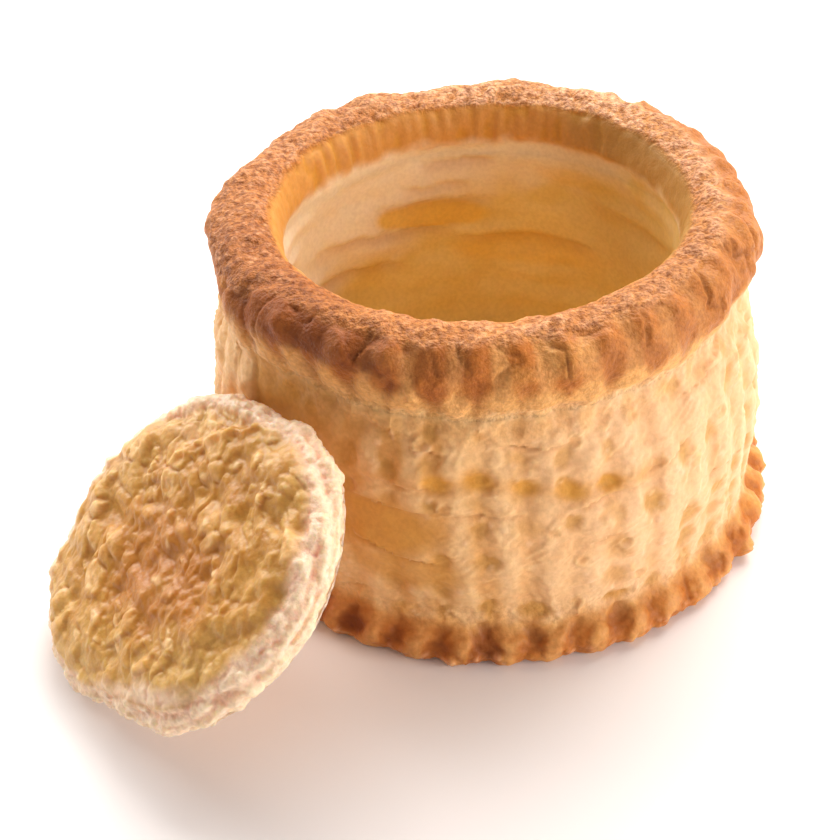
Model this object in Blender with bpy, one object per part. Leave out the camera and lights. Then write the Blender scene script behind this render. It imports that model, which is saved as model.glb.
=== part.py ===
"""A vol-au-vent: a tall, hollow case of puff pastry with a crust rim and a fluted foot, and its small lid.

The case stands on its underside with its axis on Z, and the lid leans against its left front.
Lengths are in millimetres until the meshes are made, and angles in degrees, counted from +X towards +Y.
"""

import math

import bmesh
import bpy
import numpy as np
from mathutils import Vector, noise

MM = 0.001

# Driving dimensions of the case
HEIGHT = 52.0
FOOT_RADIUS = 43.4
WALL_RADIUS = 41.2
NECK_RADIUS = 37.9
RIM_RADIUS = 39.5
MOUTH_RADIUS = 29.6
THROAT_RADIUS = 28.8
HOLLOW_RADIUS = 31.6
FLOOR_HEIGHT = 8.0
FLUTES = 42
FOOT_TWIST = -2.4
FOOT_TWIST_HEIGHT = 8.0
COLUMNS = 4 * FLUTES

# How the risen pastry strays from a true turned shape
LEAN = -2.0
RIM_TILT = 0.5
RIM_TILT_TOWARDS = -30.0
RIM_SWELL = 0.5
RIM_SWELL_SIZE = 30.0
FOOT_SPREAD = 0.6
FOOT_SPREADS_TOWARDS = 250.0

# Driving dimensions of the lid
LID_RADIUS = 26.2
LID_THICKNESS = 7.0
LID_SLOPE = 45.0
LID_FACES = 206.5
LID_CENTRE = (-44.35, -43.5)
LID_COLUMNS = 56
LID_LUMP_SIZE = 6.0
TABLE_GAP = 0.05

CRUST = (0.56, 0.27, 0.10, 1.0)
CRUMB = (0.72, 0.50, 0.26, 1.0)

# The case's half section, from the middle of its underside out, up, over the rim and down inside.
# Each row: radius, height, rows of faces to the next point, then the depth there of the flutes,
# of the steps between the layers of dough, and of the lumps that come with baking.
SECTION = (
    (0.0, 0.0, 1, 0.0, 0.0, 0.0),
    (FOOT_RADIUS - 3.4, 0.0, 1, 0.0, 0.0, 0.0),
    (FOOT_RADIUS - 1.0, 0.5, 1, 0.3, 0.0, 0.2),
    (FOOT_RADIUS, 2.4, 1, 0.35, 0.0, 0.4),
    (FOOT_RADIUS - 0.4, 4.2, 1, 0.6, 0.0, 0.4),
    (WALL_RADIUS - 0.2, 6.4, 1, 0.5, 0.2, 0.4),
    (WALL_RADIUS - 0.1, 12.0, 2, 0.4, 0.5, 0.4),
    (WALL_RADIUS + 0.3, 20.0, 2, 0.35, 0.6, 0.5),
    (WALL_RADIUS - 0.6, 29.0, 2, 0.35, 0.6, 0.5),
    (NECK_RADIUS + 1.2, 36.0, 1, 0.35, 0.5, 0.5),
    (NECK_RADIUS, 40.8, 1, 0.4, 0.2, 0.5),
    (RIM_RADIUS - 0.8, 43.4, 1, 0.4, 0.0, 0.8),
    (RIM_RADIUS, 46.6, 1, 0.25, 0.0, 1.0),
    (RIM_RADIUS - 0.8, 49.6, 1, 0.1, 0.0, 1.0),
    (RIM_RADIUS - 3.0, 51.5, 1, 0.0, 0.0, 0.8),
    (RIM_RADIUS - 6.0, HEIGHT, 1, 0.0, 0.0, 0.7),
    (MOUTH_RADIUS + 1.5, 51.3, 1, 0.0, 0.0, 0.5),
    (MOUTH_RADIUS, 49.9, 1, 0.0, 0.0, 0.4),
    (THROAT_RADIUS, 45.6, 1, 0.0, 0.1, 0.2),
    (THROAT_RADIUS + 0.9, 42.6, 2, 0.0, 0.5, 0.3),
    (HOLLOW_RADIUS - 0.6, 34.0, 3, 0.0, 0.9, 0.5),
    (HOLLOW_RADIUS, 22.0, 2, 0.0, 0.9, 0.6),
    (HOLLOW_RADIUS - 0.8, 14.0, 1, 0.0, 0.6, 0.6),
    (HOLLOW_RADIUS - 4.2, FLOOR_HEIGHT + 1.2, 1, 0.0, 0.2, 0.6),
    (HOLLOW_RADIUS - 14.0, FLOOR_HEIGHT, 1, 0.0, 0.0, 0.6),
    (0.0, FLOOR_HEIGHT - 0.3, 0, 0.0, 0.0, 0.0),
)

# Heights of the seams between the layers of dough, outside and inside, how far a seam strays
# from its height, the width of its step, and the height over which a layer falls back
OUTER_SEAMS = (9.5, 17.5, 26.5, 32.0, 37.0)
INNER_SEAMS = (13.0, 17.5, 22.0, 26.5, 32.5, 36.5, 41.0)
SEAM_STRAY = 2.0
SEAM_STRAY_SIZE = 26.0
SEAM_WIDTH = 2.2
LAYER_SIZE = 19.0
LAYER_FALL = 9.0
LUMP_SIZE = 9.0
SMALL_LUMP_SIZE = 4.2

# The lid's half section, from the middle of its top face out and round to the middle of its back.
# Each row: share of the outline's radius, share of the thickness below the face, rows of faces to
# the next point, depth of the lumps.
LID_SECTION = (
    (0.0, 0.02, 6, 0.7),
    (0.70, 0.0, 1, 0.7),
    (0.84, 0.06, 1, 0.6),
    (0.93, 0.20, 1, 0.5),
    (0.985, 0.42, 1, 0.5),
    (1.0, 0.66, 1, 0.5),
    (0.95, 0.90, 1, 0.3),
    (0.86, 1.0, 3, 0.2),
    (0.0, 1.0, 0, 0.2),
)

# How the lid's outline strays from a circle: turns of the wave round it, height of the wave as a
# share of the radius, and the direction of a crest, from the side that points down the slope.
LID_WAVES = ((2, 0.118, -50.0), (3, 0.011, -22.0), (4, 0.026, -32.0), (7, 0.008, 10.0))


def smooth_step(value):
    """0 below 0, 1 above 1, and a smooth rise between."""
    value = min(1.0, max(0.0, value))
    return value * value * (3.0 - 2.0 * value)


def roughly(point, size, seed):
    """Smooth noise from about -1 to 1 whose bumps are about size across."""
    return noise.noise(Vector(point) / size + Vector((seed, 2.0 * seed, 3.0 * seed)))


def spread_rows(section):
    """The section's points and depths with each stretch cut into its rows, on a smooth curve."""
    knots = np.array(section, float)
    values = np.delete(knots, 2, axis=1)
    rows = []
    for i in range(len(values) - 1):
        before, start = values[max(i - 1, 0)], values[i]
        end, after = values[i + 1], values[min(i + 2, len(values) - 1)]
        count = int(knots[i, 2])
        for t in np.arange(count) / count:
            leave, arrive = (end - before) / 2.0, (after - start) / 2.0
            curve = (
                (2 * t**3 - 3 * t**2 + 1) * start
                + (t**3 - 2 * t**2 + t) * leave
                + (3 * t**2 - 2 * t**3) * end
                + (t**3 - t**2) * arrive
            )
            straight = start + (end - start) * t
            level = start[1] == end[1]
            rows.append(straight if level else curve)
    rows.append(values[-1])
    return np.array(rows)


def outward(rows):
    """The unit normal of the section at each row, as a radius and a height."""
    along = np.gradient(rows[:, :2], axis=0)
    normals = np.stack([along[:, 1], -along[:, 0]], axis=1)
    return normals / np.linalg.norm(normals, axis=1, keepdims=True)


def flute(angle, height):
    """1 on the back of a flute, -1 in the groove between two, a little uneven round the case."""
    angle -= math.radians(FOOT_TWIST) * (1.0 - smooth_step(height / FOOT_TWIST_HEIGHT))
    drift = 0.25 * math.sin(3.0 * angle + 1.0) + 0.2 * math.sin(5.0 * angle + height / 30.0)
    return 2.0 * abs(math.cos((FLUTES * angle + drift) / 2.0)) ** 1.5 - 1.0


def layers(seams, place, height, seed):
    """How far the layer of dough at this height stands out, from about -1 to 1."""
    step = 0.0
    for number, seam in enumerate(seams):
        level = seam + SEAM_STRAY * roughly(place, SEAM_STRAY_SIZE, seed + number)
        stands_out = 2.0 * roughly(place, LAYER_SIZE, seed + 40.0 + number)
        risen = smooth_step((height - level) / SEAM_WIDTH + 0.5)
        fallen = smooth_step((height - level) / LAYER_FALL - 0.2)
        step += stands_out * (risen - fallen)
    return step


def case_point(row, normal, angle):
    """The place of one point of the case's surface."""
    radius, height, flute_depth, layer_depth, lump_depth = row
    place = Vector((radius * math.cos(angle), radius * math.sin(angle), height))
    inside = radius < (HOLLOW_RADIUS + NECK_RADIUS) / 2.0
    around = Vector((math.cos(angle), math.sin(angle), 0.0)) * WALL_RADIUS
    seams = INNER_SEAMS if inside else OUTER_SEAMS
    relief = flute_depth * flute(angle, height)
    relief += layer_depth * layers(seams, around, height, 7.0 if inside else 3.0)
    relief += lump_depth * roughly(place, LUMP_SIZE, 5.0)
    relief += 0.5 * lump_depth * roughly(place, SMALL_LUMP_SIZE, 11.0)
    risen = height / HEIGHT
    spread = FOOT_SPREAD * math.cos(angle - math.radians(FOOT_SPREADS_TOWARDS))
    radius += normal[0] * relief + spread * (1.0 - risen) ** 4 * smooth_step(radius / WALL_RADIUS)
    height += normal[1] * relief
    towards = angle - math.radians(RIM_TILT_TOWARDS)
    height += risen * (RIM_TILT * math.cos(towards) + RIM_SWELL * roughly(around, RIM_SWELL_SIZE, 1.0))
    return (
        radius * math.cos(angle) + LEAN * (1.0 - (1.0 - risen) ** 2),
        radius * math.sin(angle),
        height,
    )


def lid_outline(angle):
    """The lid's outline at an angle from the side that points down the slope."""
    stray = sum(
        share * math.cos(turns * (angle - math.radians(crest)))
        for turns, share, crest in LID_WAVES
    )
    return LID_RADIUS * (1.0 + stray)


def lid_point(row, normal, angle):
    """The place of one point of the lid's surface, with its top face up and centred on the origin."""
    share, below, lump_depth = row
    radius = share * lid_outline(angle)
    height = -below * LID_THICKNESS
    place = Vector((radius * math.cos(angle), radius * math.sin(angle), height))
    relief = lump_depth * roughly(place, LID_LUMP_SIZE, 21.0)
    relief += 0.7 * lump_depth * roughly(place, LID_LUMP_SIZE / 2.0, 27.0)
    radius += normal[0] * relief
    return (
        radius * math.cos(angle),
        radius * math.sin(angle),
        height + normal[1] * relief,
    )


def turned_mesh(name, section, columns, point_of):
    """A closed mesh whose rings follow the section, with one point at each end on the axis."""
    rows = spread_rows(section)
    normals = outward(rows)
    shape = bmesh.new()
    rings = []
    for index, (row, normal) in enumerate(zip(rows, normals)):
        on_axis = index in (0, len(rows) - 1)
        angles = [0.0] if on_axis else np.arange(columns) * (math.tau / columns)
        rings.append([shape.verts.new(Vector(point_of(row, normal, a)) * MM) for a in angles])
    for lower, upper in zip(rings, rings[1:]):
        for i in range(columns):
            j = (i + 1) % columns
            corners = [lower[i % len(lower)], lower[j % len(lower)]]
            corners += [upper[j % len(upper)], upper[i % len(upper)]]
            shape.faces.new(dict.fromkeys(corners))
    bmesh.ops.recalc_face_normals(shape, faces=shape.faces)
    bmesh.ops.triangulate(shape, faces=shape.faces)
    mesh = bpy.data.meshes.new(name)
    shape.to_mesh(mesh)
    shape.free()
    mesh.shade_smooth()
    return mesh


def finish_of(name, colour, roughness):
    """A plain matte material."""
    material = bpy.data.materials.new(name)
    material.use_nodes = True
    shader = material.node_tree.nodes["Principled BSDF"]
    shader.inputs["Base Color"].default_value = colour
    shader.inputs["Roughness"].default_value = roughness
    shader.inputs["Metallic"].default_value = 0.0
    return material


def add_object(name, mesh, material):
    """Links a mesh to the scene as a named object."""
    mesh.materials.append(material)
    obj = bpy.data.objects.new(name, mesh)
    bpy.context.scene.collection.objects.link(obj)
    return obj


def make_case():
    """The hollow pastry case, open at the top."""
    mesh = turned_mesh("case", SECTION, COLUMNS, case_point)
    return add_object("case", mesh, finish_of("baked_pastry", CRUST, 0.6))


def make_lid():
    """The lid, its lower edge on the table and its upper edge against the case."""
    mesh = turned_mesh("lid", LID_SECTION, LID_COLUMNS, lid_point)
    lid = add_object("lid", mesh, finish_of("pale_crumb", CRUMB, 0.7))
    lid.rotation_euler = (0.0, math.radians(LID_SLOPE), math.radians(LID_FACES))
    turn = lid.rotation_euler.to_matrix()
    lowest = min((turn @ vertex.co).z for vertex in mesh.vertices)
    lid.location = (LID_CENTRE[0] * MM, LID_CENTRE[1] * MM, TABLE_GAP * MM - lowest)
    return lid


def main():
    for old in list(bpy.data.objects):
        bpy.data.objects.remove(old)
    make_case()
    make_lid()


main()
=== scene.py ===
"""The looks of the vol-au-vent: the crust, the baked layers, the crumb of the lid, and the studio.

Shapes are worked out in millimetres in the frame of the solids, and angles in degrees from +X towards +Y.
"""

import math

import bpy
import numpy as np
from mathutils import Matrix, Vector, noise


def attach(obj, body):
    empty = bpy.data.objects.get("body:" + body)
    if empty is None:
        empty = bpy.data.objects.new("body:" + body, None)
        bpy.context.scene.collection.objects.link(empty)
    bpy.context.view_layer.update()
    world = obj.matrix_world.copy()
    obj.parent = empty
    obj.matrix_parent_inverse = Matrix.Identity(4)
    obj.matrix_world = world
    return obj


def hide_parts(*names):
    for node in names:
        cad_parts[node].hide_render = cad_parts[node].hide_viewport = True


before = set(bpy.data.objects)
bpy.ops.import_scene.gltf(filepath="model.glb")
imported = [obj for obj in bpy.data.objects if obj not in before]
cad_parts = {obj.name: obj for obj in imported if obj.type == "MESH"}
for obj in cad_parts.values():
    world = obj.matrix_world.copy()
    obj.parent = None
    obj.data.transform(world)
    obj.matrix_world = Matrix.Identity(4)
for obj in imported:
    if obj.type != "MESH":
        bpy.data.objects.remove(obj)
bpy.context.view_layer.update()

MM = 0.001

# Driving dimensions of the case, as in the solids
HEIGHT = 52
FOOT_RADIUS = 43.4
WALL_RADIUS = 41.2
NECK_RADIUS = 37.9
RIM_RADIUS = 39.5
MOUTH_RADIUS = 29.6
THROAT_RADIUS = 28.8
HOLLOW_RADIUS = 31.6
FLOOR_HEIGHT = 8
FLUTES = 42
FOOT_TWIST = -2.4
FOOT_TWIST_HEIGHT = 8
LEAN = -2
RIM_TILT = 0.5
RIM_TILT_TOWARDS = -30
RIM_SWELL = 0.5
RIM_SWELL_SIZE = 30
FOOT_SPREAD = 0.6
FOOT_SPREADS_TOWARDS = 250
OUTER_SEAMS = (9.5, 17.5, 26.5, 32, 37)
INNER_SEAMS = (13, 17.5, 22, 26.5, 32.5, 36.5, 41)
SEAM_STRAY = 2
SEAM_STRAY_SIZE = 26
SEAM_WIDTH = 2.2
LAYER_SIZE = 19
LAYER_FALL = 9
LUMP_SIZE = 9
SMALL_LUMP_SIZE = 4.2

# Driving dimensions of the lid, as in the solids
LID_RADIUS = 26.2
LID_THICKNESS = 7
LID_SLOPE = 45
LID_FACES = 206.5
LID_CENTRE = (-44.35, -43.5)
LID_LUMP_SIZE = 6
LID_WAVES = ((2, 0.118, -50), (3, 0.011, -22), (4, 0.026, -32), (7, 0.008, 10))

# The case's half section. Each row: radius, height, depth of flutes, of layers and of lumps.
SECTION = (
    (0, 0, 0, 0, 0),
    (FOOT_RADIUS - 3.4, 0, 0, 0, 0),
    (FOOT_RADIUS - 1, 0.5, 0.3, 0, 0.2),
    (FOOT_RADIUS, 2.4, 0.35, 0, 0.4),
    (FOOT_RADIUS - 0.4, 4.2, 0.6, 0, 0.4),
    (WALL_RADIUS - 0.2, 6.4, 0.5, 0.2, 0.4),
    (WALL_RADIUS - 0.1, 12, 0.4, 0.5, 0.4),
    (WALL_RADIUS + 0.3, 20, 0.35, 0.6, 0.5),
    (WALL_RADIUS - 0.6, 29, 0.35, 0.6, 0.5),
    (NECK_RADIUS + 1.2, 36, 0.35, 0.5, 0.5),
    (NECK_RADIUS, 40.8, 0.4, 0.2, 0.5),
    (RIM_RADIUS - 0.8, 43.4, 0.4, 0, 0.8),
    (RIM_RADIUS, 46.6, 0.25, 0, 1),
    (RIM_RADIUS - 0.8, 49.6, 0.1, 0, 1),
    (RIM_RADIUS - 3, 51.5, 0, 0, 0.8),
    (RIM_RADIUS - 6, HEIGHT, 0, 0, 0.7),
    (MOUTH_RADIUS + 1.5, 51.3, 0, 0, 0.5),
    (MOUTH_RADIUS, 49.9, 0, 0, 0.4),
    (THROAT_RADIUS, 45.6, 0, 0.1, 0.2),
    (THROAT_RADIUS + 0.9, 42.6, 0, 0.5, 0.3),
    (HOLLOW_RADIUS - 0.6, 34, 0, 0.9, 0.5),
    (HOLLOW_RADIUS, 22, 0, 0.9, 0.6),
    (HOLLOW_RADIUS - 0.8, 14, 0, 0.6, 0.6),
    (HOLLOW_RADIUS - 4.2, FLOOR_HEIGHT + 1.2, 0, 0.2, 0.6),
    (HOLLOW_RADIUS - 14, FLOOR_HEIGHT, 0, 0, 0.6),
    (0, FLOOR_HEIGHT - 0.3, 0, 0, 0),
)

# Points of the outer and the inner side of the section that lie opposite each other, from the floor up
HIDDEN_PAIRS = ((4, 23), (6, 22), (7, 21), (9, 20), (10, 19))

# How far in from the wall its hidden inner face lies, as a share of the way to the hollow
WALL_SHARE = 0.4

# Numbers of the section's points where the zones of the case meet
UNDERSIDE_END = 1
FOOT_LIP = 3
FOOT_END = 5
NECK = 10
RIM_CROWN = 15
MOUTH = 17
THROAT = 18
RIM_END = 19
FLOOR_START = 23
SECTION_END = 25

# Distance between the rows of points in each stretch of the section
ROW_SPACING = (
    (0, UNDERSIDE_END, 6),
    (UNDERSIDE_END, FOOT_END, 0.36),
    (FOOT_END, NECK, 0.4),
    (NECK, RIM_END, 0.3),
    (RIM_END, FLOOR_START, 0.6),
    (FLOOR_START, SECTION_END, 1.2),
)

# Points round the case, and steps of the section's smooth curve from one of its points to the next
COLUMNS = 780
CURVE_STEPS = 24

# The lid's half section: share of the outline's radius, share of the thickness, depth of lumps
LID_SECTION = (
    (0, 0.02, 0.7),
    (0.70, 0, 0.7),
    (0.84, 0.06, 0.6),
    (0.93, 0.20, 0.5),
    (0.985, 0.42, 0.5),
    (1, 0.66, 0.5),
    (0.95, 0.90, 0.3),
    (0.86, 1, 0.2),
    (0, 1, 0.2),
)

# The long crumbs on the lid's face slant this way, and the leaves of dough below them hang down the slope
LID_SLANT = np.array(((0.85, 0.35, 0), (-0.3, 0.6, 0), (0, 0, 1)))
LID_FALL = np.array(((0.45, 0, 0), (0, 1, 0), (0, 0, 1)))

# The crescent where the lid's top sheet ends, near its upper edge: the circle that it follows
CRESCENT_CENTRE = (-2, 14)
CRESCENT_RADIUS = 24.6

# Down and across on the lid's face as the camera sees them
LID_DOWN = np.array((0.735, 0.678))
LID_ACROSS = np.array((-0.903, 0.43))

# The crumbs on the lid's face: size, seed, share of places that have one, height
LID_CRUMBS = ((3.6, 109, 0.6, 0.75), (2.1, 117, 0.5, 0.6), (1.3, 127, 0.45, 0.4))

# Numbers of the lid section's points where its edge and its back start
LID_EDGE_START = 2
LID_BACK_START = 7

# Cells along each side of the lid's six grids, and how far its lowest point stands above the table
LID_CELLS = 118
LID_CLEARANCE = 0.05

# Cracks along the layers of the outer wall: angle and height of both ends, depth, rise of the upper lip
CRACKS = (
    (243, 27.2, 262, 27, 0.3, 0.3),
    (261, 26.8, 279.5, 26.2, 0.35, 0.3),
    (286, 26.6, 303, 27.6, 0.35, 0.25),
    (302, 28.2, 316, 31, 0.25, 0.2),
    (272, 37.4, 289, 35.8, 0.35, 0.35),
    (255, 36.6, 264, 36.2, 0.25, 0.25),
    (243, 20.4, 262.5, 17.4, 0.45, 0.5),
    (250, 31.4, 262, 30.6, 0.2, 0.25),
    (290, 20.4, 297, 20.8, 0.35, 0.3),
    (238, 8.6, 247, 11, 0.25, 0.25),
    (318, 22, 336, 20, 0.25, 0.25),
    (312, 36.5, 330, 38, 0.25, 0.25),
)
FURTHER_CRACKS = 26

# Radius of the circle on which cracks and ledges wander
WANDER_RADIUS = 41

# The sides of the case on which these looks are strongest; several of them are where light or shade is
# painted
FRONT = 262
# The wall is painted paler on the side that faces this way, towards the right lamp: painted light
LIT_WALL = 330
BROWNED_RIM = -15
# The crown is painted paler on the side that faces this way, towards the lamps: painted light
LIT_RIM = 22
SHADED_INSIDE = 10
# The gold in the hollow reaches higher on the side that faces this way, away from the lamps: partly painted
# shade
GOLDEN_SHADED_INSIDE = 20
# The foot is painted palest on the side that faces this way, towards the right lamp: partly painted light and
# shade
PALE_FOOT = 335

# Heights of the rows of baked marks, and of the lines from which the rim and the foot are browned
DIMPLES = 3.7
FOOT_BROWNING = 6
DOT_ROW = 31.6
DOT_ROW_FALL = 2.8
STROKES = 45.4
RIM_BROWNING = 46.2

# How far the upright edges of the torn skins lean, in degrees for each millimetre
SKIN_SLANT = 0.25

# Where light coming through the wall of the hollow is painted on as a glow
GLOW_BEARING = 107
GLOW_HEIGHT = 31.2

# How much of its lip's relief the foot keeps below it
LIP_KEPT = 0.65

# Heights of the seams that cut the flutes into cells as they rise
QUILT_SEAMS = (6.2, 10.4, 15.2, 20.2, 26.4, 31, 36.4, 41.2, 46)

# Slits baked open in the crust of the rim: angle, first and last place in the section, depth
SLITS = (
    (267.5, 13, 14.6, 0.4),
    (285, 13.2, 14.8, 0.35),
    (262, 12.4, 13.8, 0.3),
    (276, 12.4, 14.2, 0.3),
    (247, 12.6, 14.2, 0.35),
    (305, 12.4, 14.2, 0.4),
    (323, 12.6, 14.4, 0.6),
    (338, 12.6, 14, 0.5),
    (95, 14.6, 16.6, 0.5),
    (66, 14.4, 16.8, 0.5),
)
FURTHER_SLITS = 7

# Ledges inside the hollow, with painted shade under each: angle and height of both ends, depth of the ledge
LEDGES = (
    (84, 42, 112, 40.6, 0.8),
    (92, 37, 118, 36.6, 0.6),
    (84, 33.4, 130, 34.4, 0.7),
    (96, 27.6, 150, 31.5, 0.9),
    (50, 26, 105, 26.4, 0.6),
    (112, 22, 155, 25, 0.8),
    (20, 34, 62, 36, 0.4),
    (160, 34, 205, 36.5, 0.7),
    (200, 27, 250, 29, 0.6),
    (240, 36, 290, 34, 0.6),
    (290, 29, 345, 30.5, 0.6),
    (330, 22, 380, 23.5, 0.6),
)

# Colours of the pastry, as sRGB, and of the light and shade painted on it
CREAM = (236, 190, 134)
PALE = (226, 170, 106)
GOLD = (214, 150, 78)
HONEY = (198, 134, 64)
OLIVE = (206, 158, 84)
AMBER = (212, 148, 58)
TAN = (184, 116, 58)
BROWN = (144, 74, 28)
DARK = (110, 52, 12)
CRUST = (192, 114, 46)
HIGHLIGHT_GOLD = (232, 172, 104)
PAINTED_WALL_LIGHT = (244, 200, 160)
GRAIN_HIGHLIGHT = (240, 184, 144)
GLOW = (238, 188, 84)
HOLLOW_CREAM = (244, 220, 188)
HOLLOW_GOLD = (236, 204, 124)
HOLLOW_LOW = (228, 190, 106)
HOLLOW_SHADE = (172, 132, 74)
LID_AMBER = (206, 148, 62)
LID_BORDER = (226, 186, 112)
LID_HEART = (186, 112, 20)
LID_WAX = (226, 172, 96)
LID_HIGHLIGHT = (248, 204, 146)
LID_CREAM = (253, 221, 190)

# How far red, green and blue light soak into the pastry, as shares of its reach
SOAK_OF_COLOURS = (1, 0.55, 0.25)

# The fine flecks: their size, then the level of noise and the shade of the dark and of the light ones
FLECK_SIZE = 0.7
FLECK_SHADES = ((0.36, (0.55, 0.42, 0.32, 1)), (0.62, (1.25, 1.25, 1.25, 1)))

# How strongly flecks and bumps show where the grain is 0
LEAST_SPECKLE = 0.12
LEAST_BUMP = 0.15

# The camera: its lens in millimetres, its place in metres and its turns in degrees
CAMERA_LENS = 63.6
CAMERA_PLACE = (0, -0.18518, 0.16141)
CAMERA_TURN = 3.675
CAMERA_LOOKS_DOWN = 39.2
CAMERA_ROLL = -2.226

# The lamps: name, place and size in metres, power in watts
LAMPS = (
    ("key", (0.17, 0.49, 0.58), 0.8, 11.2),
    ("right", (0.55, -0.25, 0.18), 0.3, 2.6),
    ("left", (-0.5, 0.4, 0.35), 0.4, 3.5),
)
LAMPS_AIM = (0, 0, 0.02)
LAMP_COLOUR = (1, 0.97, 0.93)

# The floor, and the light from all round
FLOOR_REACH = 3
FLOOR_COLOUR = (0.95, 0.91, 0.905, 1)
ROOM_COLOUR = (1, 0.985, 0.97, 1)
ROOM_STRENGTH = 0.34


def ramp(value, low, high):
    """0 up to low, 1 from high, and a smooth rise between."""
    share = np.clip((value - low) / (high - low), 0, 1)
    return share * share * (3 - 2 * share)


def fall(value, low, high):
    """1 up to low, 0 from high, and a smooth fall between."""
    return 1 - ramp(value, low, high)


def window(value, low, high, edge):
    """1 between low and high, fading to 0 over edge on both sides."""
    return ramp(value, low - edge, low) * fall(value, high, high + edge)


def noise_at(points, size, seed, tall=1):
    """Smooth noise from about -1 to 1 at each point: bumps about size across, and tall times as high."""
    scaled = points / (size * np.array((1, 1, tall))) + seed * np.array((1, 2, 3))
    flat = scaled.reshape(-1, 3).tolist()
    values = np.fromiter((noise.noise(place) for place in flat), float, len(flat))
    return values.reshape(points.shape[:-1])


def crumbs_at(points, size, seed):
    """Crumbs strewn size apart: how near each point is to its crumb's middle, the gap to the next, a draw."""
    scaled = points / size + seed * np.array((1, 2, 3))
    found = [noise.voronoi(place) for place in scaled.reshape(-1, 3).tolist()]
    near = np.array([distances[0] for distances, _ in found]).reshape(points.shape[:-1])
    next_one = np.array([distances[1] for distances, _ in found]).reshape(points.shape[:-1])
    middle = np.array([places[0] for _, places in found])
    draw = chance_of(middle[:, 0], middle[:, 1] + 3 * middle[:, 2], seed).reshape(points.shape[:-1])
    return near, next_one - near, draw


def chance_of(first, second, seed):
    """An even draw from 0 to 1, the same wherever the two numbers are the same."""
    return np.abs(np.sin(first * 12.9898 + second * 78.233 + seed) * 43758.5453) % 1


def ridge(distance, width):
    """1 along a line, fading over width on both sides of it."""
    return np.exp(-((distance / width) ** 2))


def hump(near, reach):
    """1 at a crumb's middle, falling to 0 at reach from it."""
    return np.clip(1 - (near / reach) ** 2, 0, 1)


def dome(near, reach):
    """1 at a crumb's middle, with the round sides of a ball that end at reach from it."""
    return np.sqrt(hump(near, reach))


def torn_sheets(value, levels, edge):
    """Flat steps from 0 to 1 where smooth noise passes each level, and the thin rims of those steps."""
    steps = sum(ramp(value, level - edge, level + edge) for level in levels) / len(levels)
    rims = sum(ridge(value - level - 1.5 * edge, 1.5 * edge) for level in levels)
    return steps, np.clip(rims, 0, 1)


def linear(colour):
    """An sRGB colour of 0 to 255 as linear light."""
    share = np.array(colour) / 255
    return np.where(share <= 0.04045, share / 12.92, ((share + 0.055) / 1.055) ** 2.4)


class Coat:
    """What baking adds to a surface: relief in millimetres, and the colour and grain of each point."""

    def __init__(self, shape, colour):
        self.relief = np.zeros(shape)
        self.colours = np.ones(shape + (3,)) * linear(colour)
        self.grain = np.zeros(shape)

    def paint(self, colour, weight):
        """Mixes in a colour, by weight at each point."""
        weight = np.clip(weight, 0, 1)[..., None]
        self.colours = self.colours * (1 - weight) + linear(colour) * weight


def sample_section(section, spacings):
    """Points on the section's smooth curve: each one's place between the knots, and its values."""
    values = np.array(section)
    fine = []
    for i in range(len(values) - 1):
        before, start = values[max(i - 1, 0)], values[i]
        end, after = values[i + 1], values[min(i + 2, len(values) - 1)]
        # After a level stretch the curve sets off afresh, so that it doesn't swing out below it
        if before[1] == start[1]:
            before = start
        for t in np.arange(CURVE_STEPS) / CURVE_STEPS:
            leave, arrive = (end - before) / 2, (after - start) / 2
            curve = (
                (2 * t**3 - 3 * t**2 + 1) * start
                + (t**3 - 2 * t**2 + t) * leave
                + (3 * t**2 - 2 * t**3) * end
                + (t**3 - t**2) * arrive
            )
            straight = start + (end - start) * t
            level = start[1] == end[1]
            fine.append(np.concatenate(([i + t], straight if level else curve)))
    fine.append(np.concatenate(([len(values) - 1], values[-1])))
    fine = np.array(fine)
    steps = np.linalg.norm(np.diff(fine[:, 1:3], axis=0), axis=1)
    along = np.concatenate(([0], np.cumsum(steps)))
    knots = []
    for first, last, spacing in spacings:
        low, high = np.interp((first, last), fine[:, 0], along)
        count = max(1, round((high - low) / spacing))
        knots += list(np.interp(low + (high - low) * np.arange(count) / count, along, fine[:, 0]))
    knots.append(fine[-1, 0])
    knots = np.array(knots)
    sampled = [np.interp(knots, fine[:, 0], fine[:, i]) for i in range(1, fine.shape[1])]
    return knots, np.stack(sampled, axis=1)


def grid_normals(points):
    """The unit normals of a grid of points that closes on itself round the case."""
    around = np.roll(points, -1, axis=1) - np.roll(points, 1, axis=1)
    along = np.gradient(points, axis=0)
    normals = np.cross(around, along)
    length = np.linalg.norm(normals, axis=-1, keepdims=True)
    return normals / np.maximum(length, 1e-9)


def flute_phase(angles, heights):
    """Whole turns on the back of each flute, and half turns in the groove between two."""
    turned = angles - math.radians(FOOT_TWIST) * fall(heights, 0, FOOT_TWIST_HEIGHT)
    drift = 0.25 * np.sin(3 * turned + 1) + 0.2 * np.sin(5 * turned + heights / 30)
    return FLUTES * turned + drift


def layers_at(seams, around, heights, seed):
    """How far the layer of dough at each height stands out."""
    step = np.zeros_like(heights)
    for number, seam in enumerate(seams):
        level = seam + SEAM_STRAY * noise_at(around, SEAM_STRAY_SIZE, seed + number)
        stands_out = 2 * noise_at(around, LAYER_SIZE, seed + 40 + number)
        risen = ramp((heights - level) / SEAM_WIDTH, -0.5, 0.5)
        fallen = ramp((heights - level) / LAYER_FALL, 0.2, 1.2)
        step += stands_out * (risen - fallen)
    return step


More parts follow.
